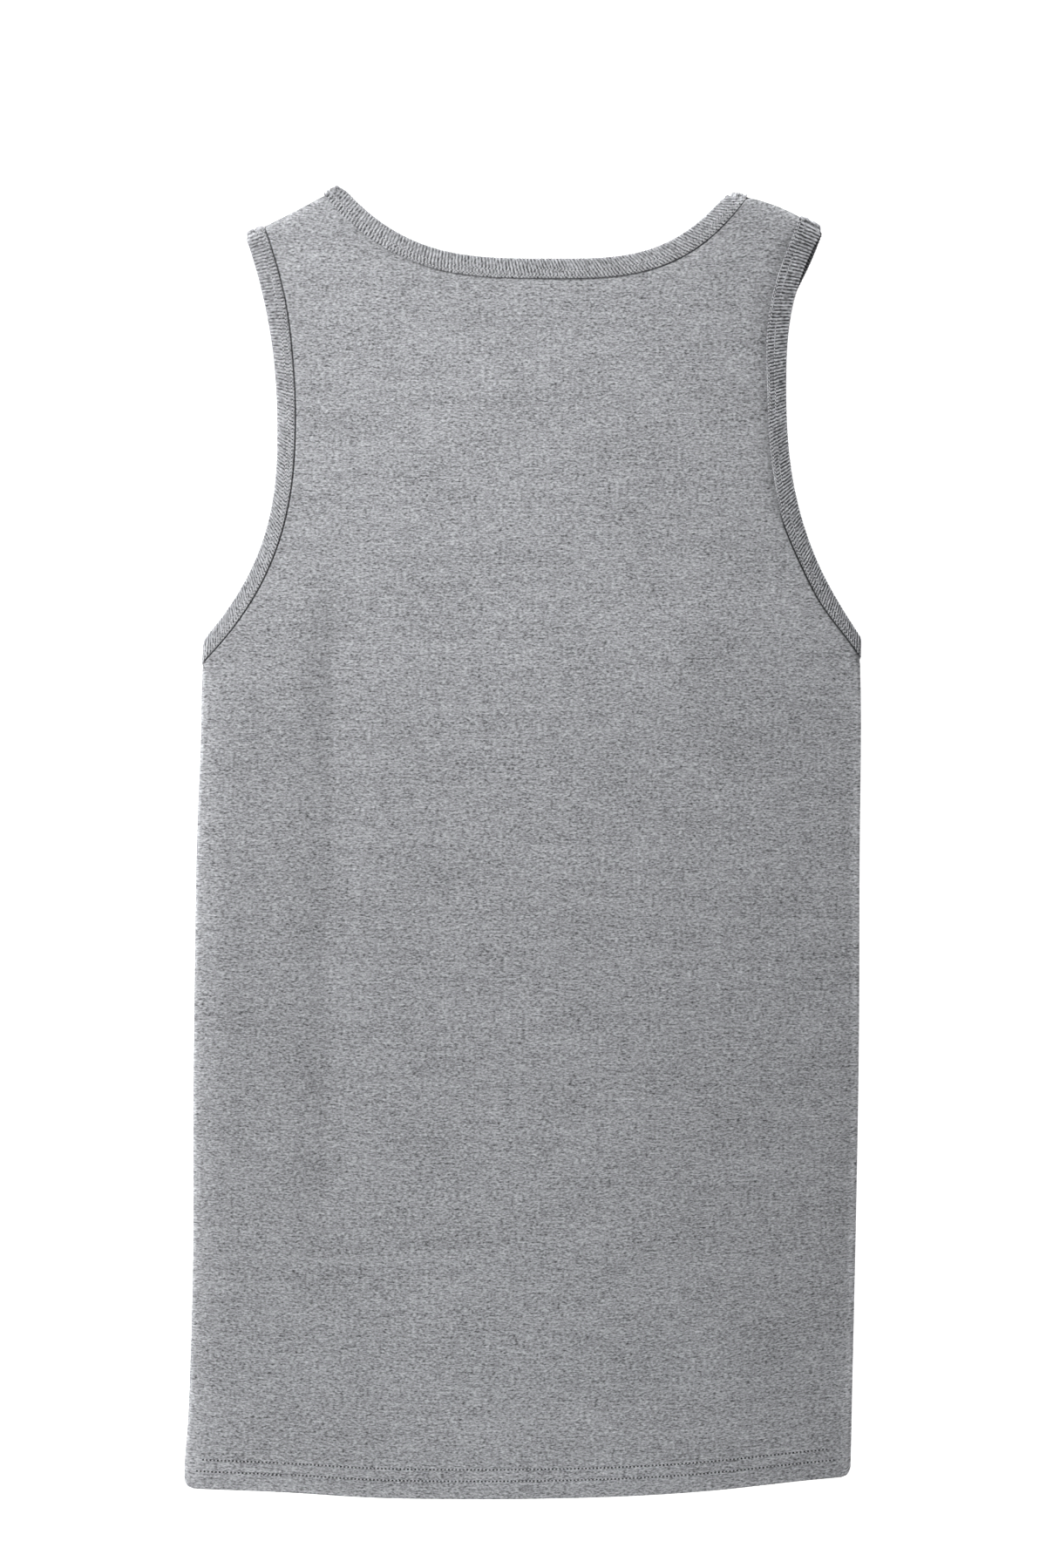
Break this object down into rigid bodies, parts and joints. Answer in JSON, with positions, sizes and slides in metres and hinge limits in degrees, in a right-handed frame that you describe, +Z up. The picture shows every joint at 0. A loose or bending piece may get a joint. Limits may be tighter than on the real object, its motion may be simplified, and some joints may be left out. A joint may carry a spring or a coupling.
{
  "type": "tank top",
  "caption": "Sleeveless jersey tank top lying flat with its back up and its sides turned under, bound at neck and armholes, with a stitched hem.",
  "frame": {"origin": "on the surface that the garment lies on, below the middle of its box", "axes": "+Z up, out of the back that shows; +Y from the hem to the neck; +X to the right of the garment as it lies"},
  "size_m": [0.3694, 0.7182, 0.0081],
  "materials": {
    "heather_jersey": "matt heather grey cotton jersey",
    "heather_rib": "matt heather grey cotton rib"
  },
  "bodies": {
    "root": {"back_panel": "heather_jersey", "front_panel": "heather_jersey", "turned_side_left": "heather_jersey", "turned_side_right": "heather_jersey", "neck_binding": "heather_rib", "armhole_binding_left": "heather_rib", "armhole_binding_right": "heather_rib"}
  },
  "joints": []
}
